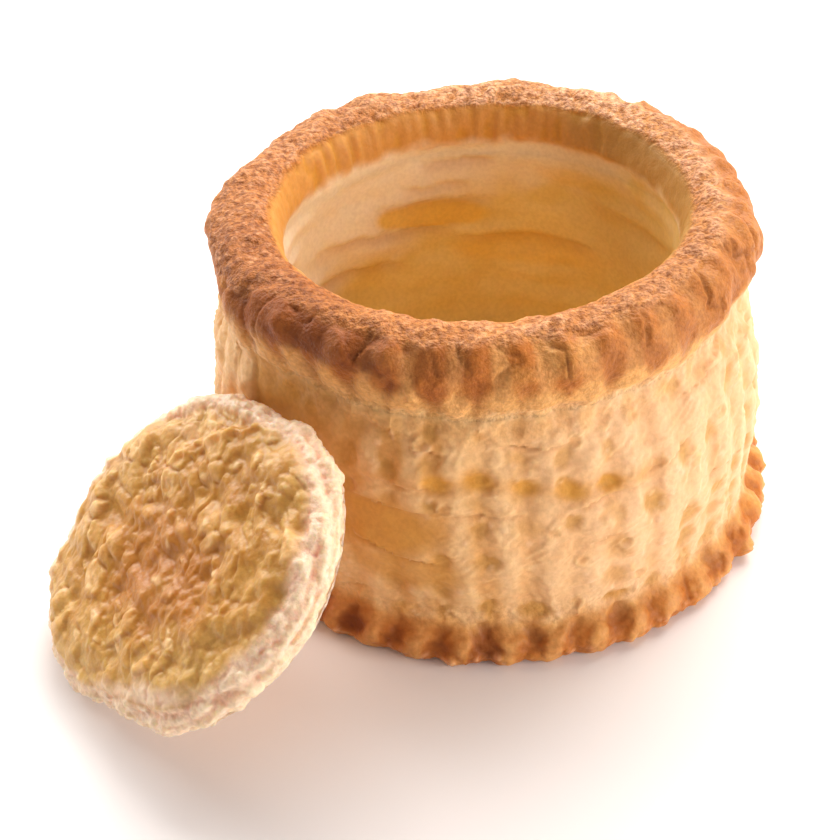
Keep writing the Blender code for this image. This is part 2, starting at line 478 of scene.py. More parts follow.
class CaseSurface:
    """The case's surface as a grid of points, one row for each place in the section, before it is baked."""

    def __init__(self, columns):
        self.knots, rows = sample_section(SECTION, ROW_SPACING)
        self.angles = np.arange(columns) * (math.tau / columns)
        radius, height, flutes, layer, lumps = (rows[:, i : i + 1] for i in range(5))
        ones = np.ones((1, columns))
        self.knot = self.knots[:, None] * ones
        self.height = height * ones
        self.radius = radius * ones
        self.angle = self.angles[None, :] * np.ones_like(self.height)
        self.degrees = np.degrees(self.angle)
        cosine, sine = np.cos(self.angle), np.sin(self.angle)
        self.place = np.stack((self.radius * cosine, self.radius * sine, self.height), axis=-1)
        self.ring = np.stack((np.cos(self.angles), np.sin(self.angles), 0 * self.angles), axis=-1)
        around = self.ring[None] * WALL_RADIUS
        self.phase = flute_phase(self.angle, self.height)
        self.flute = 2 * np.abs(np.cos(self.phase / 2)) ** 1.5 - 1
        self.groove = 0.5 - 0.5 * self.flute
        outer_layers = layers_at(OUTER_SEAMS, around, self.height, 3)
        inner_layers = layers_at(INNER_SEAMS, around, self.height, 7)
        inside = self.radius < (HOLLOW_RADIUS + NECK_RADIUS) / 2
        relief = flutes * self.flute + layer * np.where(inside, inner_layers, outer_layers)
        relief += lumps * noise_at(self.place, LUMP_SIZE, 5)
        relief += 0.5 * lumps * noise_at(self.place, SMALL_LUMP_SIZE, 11)
        along = np.gradient(rows[:, :2], axis=0)
        out = np.stack((along[:, 1], -along[:, 0]), axis=1)
        out /= np.linalg.norm(out, axis=1, keepdims=True)
        risen = height / HEIGHT
        spread = FOOT_SPREAD * self.towards(FOOT_SPREADS_TOWARDS)
        spread = spread * (1 - risen) ** 4 * ramp(self.radius / WALL_RADIUS, 0, 1)
        moved_radius = self.radius + out[:, :1] * relief + spread
        swell = RIM_SWELL * noise_at(around, RIM_SWELL_SIZE, 1)
        tilt = RIM_TILT * self.towards(RIM_TILT_TOWARDS)
        moved_height = self.height + out[:, 1:] * relief + risen * (tilt + swell)
        self.base = np.stack(
            (
                moved_radius * cosine + LEAN * (1 - (1 - risen) ** 2),
                moved_radius * sine,
                moved_height,
            ),
            axis=-1,
        )
        self.bare_normals = grid_normals(self.base)

    def noise(self, size, seed, tall=1):
        """Smooth noise from about -1 to 1 over the surface."""
        return noise_at(self.place, size, seed, tall)

    def towards(self, degrees):
        """1 on the side that faces this way, -1 on the side that faces away."""
        return np.cos(self.angle - math.radians(degrees))

    def sector(self, first, last, edge):
        """1 from one bearing to another, with soft ends."""
        return window(self.degrees, first, last, edge)

    def zone(self, start, end, edge=0.4):
        """1 between two numbers of the section's points, with soft ends."""
        return window(self.knot, start, end, edge)

    def patch(self, degrees, height, wide, high):
        """A soft oval patch on the wall, wide in degrees and high in millimetres."""
        turn = (self.degrees - degrees + 180) % 360 - 180
        distance = np.sqrt((turn / wide) ** 2 + ((self.height - height) / high) ** 2)
        return fall(distance, 0.55, 1.15)

    def grooves(self, stray):
        """How many grooves each point has passed, the number of its own, and how far off its middle is."""
        turns = self.phase / math.tau + stray
        return turns, np.floor(turns) % FLUTES, np.abs(turns % 1 - 0.5)


def crack_list():
    """The cracks seen from the front, and more of the same kind round the sides and back."""
    cracks = list(CRACKS)
    chance = np.random.default_rng(7)
    for _ in range(FURTHER_CRACKS):
        start = chance.uniform(-30, 210)
        low = chance.uniform(8.5, 39)
        reach = chance.uniform(7, 24)
        slope = chance.normal(0, 0.08)
        depth = chance.uniform(0.2, 0.45)
        cracks.append((start, low, start + reach, low + slope * reach, depth, depth))
    return cracks


def wandering_line(surface, first, low, last, high, seed, stray):
    """Height above a line that wanders from one end to the other, and 1 along it fading at both ends."""
    share = ((surface.degrees - first) % 360) / (last - first)
    fade = ramp(share, 0, 0.2) * fall(share, 0.75, 1) * (share < 1)
    around = surface.ring * WANDER_RADIUS
    wobble = 0.7 * noise_at(around, 5, seed) + 0.3 * noise_at(around, 1.6, seed + 30)
    return surface.height - (low + (high - low) * share + stray * wobble[None, :]), fade


def crack_relief(surface):
    """Relief of the cracks in the outer wall, and the painted shade at each point of them."""
    relief = np.zeros_like(surface.height)
    shade = np.zeros_like(surface.height)
    for number, (first, low, last, high, depth, lip) in enumerate(crack_list()):
        above, fade = wandering_line(surface, first, low, last, high, 60 + number, 1)
        under = np.exp(np.minimum(above, 0) / 0.9) * (above < 0)
        over = np.exp(-np.maximum(above, 0) / 1.6) * (above >= 0)
        relief += fade * (lip * over - depth * under)
        shade += fade * depth * ridge(above + 0.25, 0.4)
    return relief, np.clip(1.6 * shade, 0, 1)


def golden_skin(s, middle):
    """The smooth, amber parts of the wall, where the outer layers have come away; their amber is partly
    painted glow of light through the thin pastry.
    """
    slant = SKIN_SLANT * (36 - s.height)
    left = ramp(s.degrees + 1.5 * middle, 215.5 + slant, 218.5 + slant)
    left *= fall(s.degrees + 5 * middle, 228, 252)
    left *= window(s.height + 1.5 * middle, 27, 38.5, 4)
    low = s.patch(249, 23.2, 15, 5.6)
    foot = 0.7 * s.patch(254, 16, 13, 3.6)
    back = np.maximum(0.8 * s.patch(95, 24, 17, 8), 0.7 * s.patch(18, 31, 10, 7))
    return np.maximum(np.maximum(left, low), np.maximum(foot, back))


def quilt_windows(s):
    """The thin, sunken windows that seams and grooves leave in the wall, and the seams between them."""
    seams = np.array(QUILT_SEAMS)
    height = s.height + 1.8 * s.noise(17, 61) + 0.5 * s.noise(5, 62)
    layer = np.clip(np.searchsorted(seams, height) - 1, 0, len(seams) - 2)
    up = (height - seams[layer]) / (seams[layer + 1] - seams[layer]) - 0.5
    stray = 0.1 * s.noise(6, 63) + 0.24 * (chance_of(layer, 1, 4) - 0.5)
    _, groove, across = s.grooves(stray)
    wide = 0.22 + 0.2 * chance_of(groove, layer, 2)
    tall = 0.28 + 0.24 * chance_of(groove, layer, 3)
    distance = np.hypot(across / wide, up / tall) + 0.5 * s.noise(2.4, 64) + 0.2 * s.noise(1.1, 66)
    strength = ramp(chance_of(groove, layer, 1), 0, 0.8)
    return strength * fall(distance, 0.3, 1.2), ramp(np.abs(up), 0.4, 0.5)


def coat_wall(s, coat):
    """The layered outer wall: soft ridges, thin windows between them, torn skins, crumbs and cracks."""
    wall = s.zone(FOOT_END + 0.2, NECK + 0.5)
    front = ramp(s.towards(FRONT), 0.2, 0.9)
    broad, middle = s.noise(16, 31), s.noise(4, 33)
    small, tiny = s.noise(1.7, 35), s.noise(0.8, 37)
    smooth = golden_skin(s, middle) * wall
    bed = wall * (1 - 0.9 * smooth)
    windows, seam = quilt_windows(s)
    windows = windows * (1 - 0.8 * s.patch(238, 42, 26, 6))
    worn = 0.4 + 0.6 * ramp(s.noise(10, 39, 0.7), -0.25, 0.35)
    worn += 0.7 * fall(s.height, 8, 15)
    torn = s.noise(7, 43, 0.55) + 0.08 * small
    skins, skin_rims = torn_sheets(torn, (-0.25, 0, 0.25), 0.04)
    laminae = s.noise(6, 41, 0.15)
    near, _, draw = crumbs_at(s.place, 3.4, 47)
    curls = (draw < 0.25) * ridge(near - 0.3, 0.07) * ramp(small + 0.5 * middle, -0.1, 0.3)
    inside_curls = (draw < 0.25) * fall(near, 0.15, 0.3)
    near, _, draw = crumbs_at(s.place, 1.4, 49)
    strewn = (draw < 0.16 * ramp(middle + 0.6 * broad, -0.3, 0.4)) * hump(near, 0.5)
    row_height = DOT_ROW - DOT_ROW_FALL * ramp(s.degrees, 268, 292) + 0.25 * s.noise(9, 46)
    across = np.abs((s.phase / math.tau) % 1 - 0.5)
    dots = np.hypot(across / 0.36, (s.height - row_height) / 1.7) + 0.3 * middle
    dots = fall(dots, 0.4, 1.25) * s.sector(258, 299, 5)
    band = ridge(s.height - row_height, 1.4) * s.sector(250, 302, 8)
    cracks, crack_shade = crack_relief(s)
    flap = s.sector(196, 216 + SKIN_SLANT * (36 - s.height), 1.2) * window(s.height, 25, 43, 1.5)

    coat.relief += bed * (-0.42 * windows - 0.2 * worn * s.flute + 0.26 * (skins - 0.5) + 0.08 * skin_rims)
    coat.relief += bed * (0.1 * laminae + 0.24 * middle + 0.16 * small + 0.07 * tiny - 0.12 * seam)
    coat.relief += bed * (0.24 * curls - 0.14 * inside_curls - 0.2 * dots + 0.2 * strewn)
    coat.relief += wall * (cracks + 0.4 * flap)
    coat.relief += wall * smooth * (-0.4 - 0.33 * s.flute + 0.25 * broad + 0.08 * middle)

    ridges = ramp(s.flute + 0.9 * middle + 0.6 * broad, -0.3, 1.2)
    coat.paint(CREAM, bed * ridges)
    coat.paint(GOLD, 0.5 * bed * ramp(s.groove - 0.6 * skins + 0.6 * broad, 0.1, 0.9))
    coat.paint(CREAM, 0.5 * bed * ramp(skins + 0.5 * small, 0.5, 1.1))
    # Paler paint on the side of the wall towards the right lamp: painted light
    coat.paint(PAINTED_WALL_LIGHT, 0.5 * bed * ramp(s.towards(LIT_WALL), 0.3, 0.95))
    coat.paint(HONEY, 0.85 * bed * windows * front)
    coat.paint(OLIVE, 0.85 * bed * windows * (1 - 0.5 * front))
    # Paler rims of the curled flakes, painted highlight, and gold inside them, painted shade
    coat.paint(CREAM, 0.7 * bed * curls)
    coat.paint(GOLD, 0.4 * bed * inside_curls)
    # Pale specks on the strewn crumbs: painted glints
    coat.paint(LID_CREAM, 0.25 * bed * strewn)
    coat.paint(GOLD, 0.5 * band * wall)
    coat.paint(AMBER, 0.85 * dots * wall)
    # Amber on the smooth skin: partly its own colour, partly painted glow of light through the thin pastry
    coat.paint(AMBER, 0.8 * smooth * (0.85 + 0.3 * broad))
    # Paler paint under the rim at the left front: painted light that lifts the rim's shadow there
    under_rim = s.patch(236, 41.5, 22, 6)
    coat.paint(PALE, 0.7 * wall * under_rim * ramp(small + 0.6 * middle, -0.6, 0.3))
    coat.paint(CREAM, 0.6 * flap * wall)
    # Painted shade along the cracks
    coat.paint(TAN, 0.6 * crack_shade * wall)
    coat.grain = np.clip(coat.grain + 0.1 * bed, 0, 1)


def slit_list():
    """The slits seen in the photo's rim, and more of the same kind round the rest of it."""
    slits = list(SLITS)
    chance = np.random.default_rng(11)
    for _ in range(FURTHER_SLITS):
        first = chance.uniform(12, 15.5)
        angle = chance.uniform(-20, 232)
        last = first + chance.uniform(1, 2.2)
        slits.append((angle, first, last, chance.uniform(0.3, 0.6)))
    return slits


def rim_slits(s):
    """How deep the slits in the rim are at each point."""
    slits = np.zeros_like(s.height)
    for number, (angle, first, last, depth) in enumerate(slit_list()):
        along = window(s.knot, first + 0.5, last - 0.5, 0.9)
        wander = 3.6 * noise_at(s.place * (0.4, 0.4, 1), 2, 90 + number)
        turn = (s.degrees - angle + wander + 180) % 360 - 180
        slits = np.maximum(slits, depth * along * ridge(turn, 0.75))
    return slits


def rim_lumps(s):
    """The big bulges of the rim, the creases between them and its fine grains, at each point."""
    upper = s.knot[:, 0] > NECK - 1
    bulges, creases, grains = (np.zeros_like(s.height) for _ in range(3))
    near, gap, draw = crumbs_at(s.place[upper] * (1, 1, 0.5), 6, 69)
    bulges[upper] = (1 - near**2) * draw
    creases[upper] = fall(gap, 0, 0.15) * ramp(draw, 0.3, 0.7)
    near, _, draw = crumbs_at(s.place[upper], 1.1, 67)
    grains[upper] = dome(near, 0.62) * (0.3 + 0.7 * draw)
    return bulges, creases, grains


def coat_rim(s, coat):
    """The browned rim: a sandy crown, a rumpled side with strokes, and a pleated strip round the mouth."""
    broad, middle = s.noise(11, 51), s.noise(4, 53)
    small, tiny = s.noise(1.6, 55), s.noise(0.8, 57)
    folds, pleats = s.noise(2.6, 59, 3.5), s.noise(1.6, 60, 5)
    left, left_front = s.sector(130, 206, 22), s.sector(214, 248, 8)
    facing, folded = s.sector(246, 318, 10), s.sector(255, 286, 6)
    pleated = s.sector(55, 150, 15)
    right = ramp(s.towards(BROWNED_RIM), 0.3, 0.9)
    shaded = ramp(s.towards(SHADED_INSIDE), 0.4, 0.85)
    starts = RIM_CROWN - 1.3 - 1.3 * left + 0.2 * left_front + 0.5 * right + 0.5 * middle + 0.3 * broad
    mouth = ramp(s.knot + 0.35 * middle, MOUTH - 0.9, MOUTH - 0.1)
    crown = ramp(s.knot, starts, starts + 0.7) * (1 - mouth)
    side = s.zone(NECK - 0.3, RIM_CROWN - 0.3, 0.8) * (1 - crown)
    strip = mouth * fall(s.knot + 0.2 * middle, THROAT - 0.2, THROAT + 0.8)
    outside = fall(s.knot, RIM_CROWN, RIM_CROWN + 0.5)
    _, groove, across = s.grooves(0.1 * middle)
    draw, shift = chance_of(groove, 3, 31), chance_of(groove, 5, 32)
    strokes = np.hypot(across / (0.2 + 0.14 * draw), (s.height - STROKES - 1.2 * shift) / (2.6 + 1.4 * draw))
    strokes = side * fall(strokes + 0.3 * middle + 0.2 * small, 0.2, 1.3) * (0.3 + 0.7 * draw)
    bulges, creases, grains = rim_lumps(s)
    creases *= ramp(s.height, 43, 45.5) * ramp(small + 0.8 * middle, -0.4, 0.3)
    slits = rim_slits(s)

    coat.relief += side * (0.4 * broad + 0.45 * middle + (0.18 + 0.3 * folded) * folds + 0.16 * small)
    uneven = 0.07 * tiny - 0.35 * strokes + 0.9 * (bulges - 0.3) - 0.45 * creases - 0.3 * s.flute
    coat.relief += side * uneven
    coat.relief += crown * (0.5 * middle + 0.24 * small + 0.14 * tiny + 0.2 * grains + 0.4 * (bulges - 0.3))
    coat.relief += strip * ((0.1 + 0.4 * pleated) * pleats + 0.15 * middle + 0.08 * small)
    coat.relief -= slits * outside + 0.5 * slits * (1 - outside)

    brown_from = RIM_BROWNING - 1.6 * s.groove + 1.6 * middle + broad + 1.6 * left_front
    crust = outside * ramp(s.height, brown_from - 1.6, brown_from + 1.6)
    crust = np.maximum(crust, s.zone(RIM_CROWN - 1, MOUTH - 0.4, 0.3))
    coat.paint(GOLD, 0.75 * outside * ramp(s.height, brown_from - 4.5, brown_from + 0.5))
    coat.paint(CRUST, crust)
    coat.paint(TAN, 0.6 * side * crust * ramp(-middle - 0.6 * broad, -0.1, 0.6))
    coat.paint(GOLD, 0.6 * side * crust * ramp(middle + 0.5 * folds, 0, 0.6) * (1 - 0.7 * left_front))
    # Painted highlight on the crests of the rim's side at the front
    coat.paint(HIGHLIGHT_GOLD, 0.6 * side * facing * ramp(s.flute + 0.7 * middle + 0.4 * folds, 0, 1))
    coat.paint(BROWN, (0.65 + 0.25 * facing) * strokes)
    baked_most = side * left_front
    coat.paint(BROWN, 0.65 * baked_most * ramp(s.height + 2 * middle, 46.4, 48.2))
    coat.paint(DARK, 0.6 * baked_most * ramp(s.height, 46.4, 48.2) * ramp(-middle - 0.5 * small, -0.2, 0.3))
    coat.paint(BROWN, 0.4 * side * s.sector(222, 266, 8) * ramp(s.height, 47, 48.8))
    # Painted shade in the creases between the bulges
    coat.paint(BROWN, 0.6 * side * crust * creases)
    coat.paint(TAN, 0.7 * side * crust * right)
    # The crown is painted paler towards the lamps and on the tops of its grains, painted highlight, and
    # darker between the grains where less lit, painted shade
    lit_crown = 0.55 + 0.4 * s.towards(LIT_RIM)
    coat.paint(HIGHLIGHT_GOLD, 0.6 * lit_crown * crown)
    coat.paint(GRAIN_HIGHLIGHT, lit_crown * crown * ramp(grains + 0.6 * small + 0.4 * tiny + 0.3 * broad, -0.3, 0.7))
    coat.paint(TAN, (0.8 - 0.5 * lit_crown) * crown * ramp(-grains - 0.6 * small - 0.6 * middle, -0.3, 0.5))
    coat.paint(TAN, 0.6 * crown * s.sector(188, 234, 12))
    coat.paint(BROWN, 0.42 * crown * s.sector(196, 232, 12))
    coat.paint(TAN, 0.35 * crown * right)
    # At the left, painted shade between the grains and painted highlight on their tops
    coat.paint(BROWN, 0.45 * left * crown * ramp(-grains - 0.8 * small - 0.4 * tiny, -0.1, 0.5))
    coat.paint(GRAIN_HIGHLIGHT, 0.5 * left * crown * ramp(grains + 0.5 * tiny, 0.3, 0.9))
    coat.paint(TAN, 0.4 * crown * ramp(-broad - 0.4 * middle, 0, 0.5))
    coat.paint(TAN, 0.35 * left * crown)
    # Painted shade in the slits
    coat.paint(DARK, 0.4 * np.clip(1.4 * slits, 0, 1) * (side + crown))
    coat.paint(GOLD, strip)
    # Darker amber in the folds of the pleats: painted shade
    coat.paint(AMBER, 0.7 * strip * ramp(-pleats - 0.3 * middle, -0.1, 0.4) * (0.3 + 0.7 * pleated))
    coat.paint(HOLLOW_SHADE, 0.8 * strip * shaded)
    coat.grain = np.clip(coat.grain + crown + 0.3 * side, 0, 1)


def coat_hollow(s, coat):
    """The inside: pale and smooth above at the left, soft ledges of dough, amber and thin low down; the gold
    there and on the side in shade is partly painted shade.
    """
    hollow = s.zone(THROAT + 0.3, FLOOR_START - 0.2, 0.4)
    floor = s.zone(FLOOR_START, SECTION_END, 0.5)
    inner = ramp(s.knot + 0.3 * s.noise(3, 71), THROAT - 0.2, THROAT + 0.7)
    broad, middle = s.noise(14, 72, 0.5), s.noise(4.5, 73)
    small = s.noise(1.7, 75)
    swells = s.noise(16, 81, 0.22)
    shaded = ramp(s.towards(SHADED_INSIDE), 0.4, 0.85)
    shade = np.zeros_like(s.height)
    for number, (first, low, last, high, depth) in enumerate(LEDGES):
        above, fade = wandering_line(s, first, low, last, high, 130 + number, 0.7)
        under = np.exp(np.minimum(above, 0) / 2) * ramp(-above, -0.3, 0.3)
        over = np.exp(-np.maximum(above, 0) / 3) * ramp(above, -0.3, 0.3)
        coat.relief += hollow * fade * depth * (0.5 * over - 0.5 * under)
        shade += fade * depth * ridge(above + 0.8, 1.2)
    coat.relief += hollow * (0.6 * swells + 0.2 * middle + 0.05 * small)
    coat.relief += floor * (0.5 * broad + 0.3 * middle + 0.12 * small)

    # Gold low down, reaching higher on the side in shade: partly the dough's own colour, partly painted shade
    deepens = 28.5 + 16.5 * s.towards(GOLDEN_SHADED_INSIDE) + 3 * middle + 4 * broad
    low = fall(s.height, deepens - 6, deepens + 5)
    coat.paint(HOLLOW_CREAM, inner)
    coat.paint(HOLLOW_GOLD, 0.85 * inner * low)
    coat.paint(HOLLOW_LOW, 0.6 * inner * low * ramp(-swells + 0.4 * middle, -0.3, 0.5))
    across = s.degrees - GLOW_BEARING
    patch = np.hypot(across / 21, (s.height - GLOW_HEIGHT - 0.05 * across) / 2.8)
    glow = fall(patch + 0.15 * middle, 0.75, 1.05)
    glow += 0.7 * s.patch(78, 23.5, 28, 3.6) + 0.4 * s.patch(60, 39, 14, 2.2)
    glow += 0.5 * s.patch(280, 28, 20, 5) + 0.5 * s.patch(190, 24, 18, 4)
    # Painted glow where light comes through the thin wall
    coat.paint(GLOW, 0.9 * inner * np.clip(glow, 0, 1))
    # Darker towards the bottom of the hollow: partly painted shade
    coat.paint(HOLLOW_LOW, 0.7 * inner * fall(s.height, 8, 22))
    coat.paint(HOLLOW_SHADE, 0.35 * inner * shaded * ramp(s.height, 16, 30))
    # Painted shade under the ledges
    coat.paint(TAN, 0.35 * inner * np.clip(shade, 0, 1))
    coat.grain = np.clip(coat.grain + 0.3 * floor, 0, 1)


def coat_foot(s, coat):
    """The browned foot: a ragged lip along the bottom, and a dark dimple in each groove above it; the dimples
    and the darker side of the foot are partly painted shade.
    """
    broad, middle = s.noise(12, 85), s.noise(3.2, 87)
    small, tiny = s.noise(1.4, 88), s.noise(0.7, 89)
    foot = s.zone(UNDERSIDE_END + 0.4, FOOT_END + 0.4, 0.5)
    underside = fall(s.knot, UNDERSIDE_END, UNDERSIDE_END + 0.3)
    below_lip = fall(s.knot, FOOT_LIP - 1, FOOT_LIP)
    lip = s.zone(UNDERSIDE_END + 0.5, FOOT_LIP, 0.5)
    turns, groove, across = s.grooves(0.08 * middle)
    draw, shift = chance_of(groove, 1, 21), chance_of(groove, 2, 22)
    dimples = np.hypot(across / (0.22 + 0.12 * draw), (s.height - DIMPLES - 0.8 * shift) / (1.9 + 0.6 * draw))
    dimples = foot * fall(dimples + 0.3 * middle + 0.3 * small, 0.3, 1.25) * (0.4 + 0.6 * draw)
    # Away from the right lamp the foot is painted darker: partly its own browning, partly painted shade
    dark_side = 0.75 - 0.25 * s.towards(PALE_FOOT)
    lower = s.knot[:, 0] < FOOT_END
    near, _, crumb_draw = crumbs_at(s.place[lower], 1.4, 83)
    crumbs = np.zeros_like(s.height)
    crumbs[lower] = (crumb_draw < 0.55) * dome(near, 0.6)
    bulb = np.floor(turns + 0.5) % FLUTES
    bulbs = foot * ramp(s.flute, 0, 0.9) * window(s.height, 2, 3.8, 1.4) * chance_of(bulb, 4, 23)

    coat.relief += foot * (0.35 * middle + 0.26 * small + 0.12 * tiny - 0.4 * dimples + 0.35 * bulbs)
    coat.relief += foot * (0.25 * broad - 0.3 * s.flute)
    coat.relief += lip * (0.15 * s.flute + 0.3 * broad + 0.3 * middle + 0.3 * small + 0.4 * crumbs)

    top = FOOT_BROWNING + 1.2 * middle + 0.8 * broad + 0.6 * s.groove
    browned = fall(s.height, top - 2.2, top + 0.8) * (s.knot < NECK)
    coat.paint(GOLD, 0.5 * fall(s.height, top - 1, top + 2.5) * (s.knot < NECK))
    coat.paint(CRUST, browned)
    # Painted highlight on the crests of the foot's flutes
    coat.paint(HIGHLIGHT_GOLD, 0.7 * foot * browned * ramp(s.flute + 0.7 * middle + 0.6 * small, 0, 1.2))
    coat.paint(GOLD, 0.5 * foot * browned * ramp(middle + 0.6 * small, 0, 0.6))
    coat.paint(TAN, 0.5 * foot * browned * ramp(-middle - 0.5 * broad - 0.4 * small, 0, 0.5))
    coat.paint(BROWN, 0.7 * foot * browned * ramp(dark_side, 0.6, 0.95))
    coat.paint(BROWN, 0.9 * dimples * (0.5 + 0.5 * ramp(dark_side, 0.5, 0.75)))
    coat.paint(DARK, 0.8 * dimples * ramp(dark_side, 0.55, 0.8))
    # Painted highlight on the tops of the lip's crumbs
    coat.paint(GRAIN_HIGHLIGHT, 0.4 * lip * ramp(crumbs + 0.4 * small, 0.5, 1))
    # Painted shade below the lip, on the side away from the right lamp
    coat.paint(BROWN, 0.5 * browned * ramp(dark_side, 0.6, 0.95) * below_lip)
    coat.paint(TAN, underside)
    coat.paint(BROWN, 0.4 * underside * ramp(broad + 0.6 * middle, 0, 0.6))
    coat.grain = np.clip(coat.grain + 0.4 * foot, 0, 1)


def make_object(name, points, faces, colours, grain, material, normals=None):
    """A mesh object from points in millimetres, with its colours and grain at each point."""
    mesh = bpy.data.meshes.new(name)
    mesh.from_pydata((points * MM).tolist(), [], faces)
    tint = mesh.color_attributes.new("tint", "FLOAT_COLOR", "POINT")
    rgba = np.concatenate((colours, np.ones((len(colours), 1))), axis=1)
    tint.data.foreach_set("color", rgba.astype(np.float32).ravel())
    rough = mesh.attributes.new("grain", "FLOAT", "POINT")
    rough.data.foreach_set("value", np.asarray(grain, np.float32))
    mesh.polygons.foreach_set("use_smooth", [True] * len(mesh.polygons))
    if normals is not None:
        mesh.normals_split_custom_set_from_vertices(normals.tolist())
    mesh.materials.append(material)
    mesh.update()
    obj = bpy.data.objects.new(name, mesh)
    bpy.context.scene.collection.objects.link(obj)
    return obj


def ring_faces(rings):
    """Faces between rings of point numbers; a ring of one point closes an end."""
    faces = []
    for lower, upper in zip(rings, rings[1:]):
        count = max(len(lower), len(upper))
        for i in range(count):
            j = (i + 1) % count
            corners = [lower[i % len(lower)], lower[j % len(lower)]]
            corners += [upper[j % len(upper)], upper[i % len(upper)]]
            faces.append(tuple(dict.fromkeys(corners)))
    return faces


def pastry_material(name, bump_sizes, bump_depth, roughness, speckle, soak=0.25, reach=0.0022, gloss=0.2):
    """Baked pastry: colours from the mesh, fine relief, and light that soaks in a little."""
    material = bpy.data.materials.new(name)
    material.use_nodes = True
    nodes, links = material.node_tree.nodes, material.node_tree.links
    shader = nodes["Principled BSDF"]
    shader.inputs["Subsurface Weight"].default_value = soak
    shader.inputs["Subsurface Radius"].default_value = SOAK_OF_COLOURS
    shader.inputs["Subsurface Scale"].default_value = reach
    shader.inputs["Specular IOR Level"].default_value = gloss
    tint = nodes.new("ShaderNodeAttribute")
    tint.attribute_name = "tint"
    grain = nodes.new("ShaderNodeAttribute")
    grain.attribute_name = "grain"
    place = nodes.new("ShaderNodeTexCoord")

    def noise_node(size, detail):
        node = nodes.new("ShaderNodeTexNoise")
        node.inputs["Scale"].default_value = 1 / (size * MM)
        node.inputs["Detail"].default_value = detail
        links.new(place.outputs["Object"], node.inputs["Vector"])
        return node

    def maths(operation, *values):
        node = nodes.new("ShaderNodeMath")
        node.operation = operation
        for socket, value in zip(node.inputs, values):
            if isinstance(value, bpy.types.NodeSocket):
                links.new(value, socket)
            else:
                socket.default_value = value
        return node.outputs["Value"]

    fleck = noise_node(FLECK_SIZE, 4)
    strength = maths("MULTIPLY_ADD", grain.outputs["Fac"], speckle, LEAST_SPECKLE)
    shades = nodes.new("ShaderNodeValToRGB")
    for stop, (position, shade) in zip(shades.color_ramp.elements, FLECK_SHADES):
        stop.position = position
        stop.color = shade
    links.new(fleck.outputs["Fac"], shades.inputs["Fac"])
    darker = nodes.new("ShaderNodeMix")
    darker.data_type = "RGBA"
    darker.blend_type = "MULTIPLY"
    links.new(strength, darker.inputs["Factor"])
    links.new(tint.outputs["Color"], darker.inputs["A"])
    links.new(shades.outputs["Color"], darker.inputs["B"])
    links.new(darker.outputs["Result"], shader.inputs["Base Color"])

    height = None
    for size, share in bump_sizes:
        part = maths("MULTIPLY", noise_node(size, 3).outputs["Fac"], share)
        height = part if height is None else maths("ADD", height, part)
    lift = maths("MULTIPLY_ADD", grain.outputs["Fac"], 1, LEAST_BUMP)
    bump = nodes.new("ShaderNodeBump")
    bump.inputs["Strength"].default_value = 1
    bump.inputs["Distance"].default_value = bump_depth * MM
    links.new(maths("MULTIPLY", height, lift), bump.inputs["Height"])
    links.new(bump.outputs["Normal"], shader.inputs["Normal"])
    links.new(maths("MULTIPLY_ADD", fleck.outputs["Fac"], 0.25, roughness), shader.inputs["Roughness"])
    return material


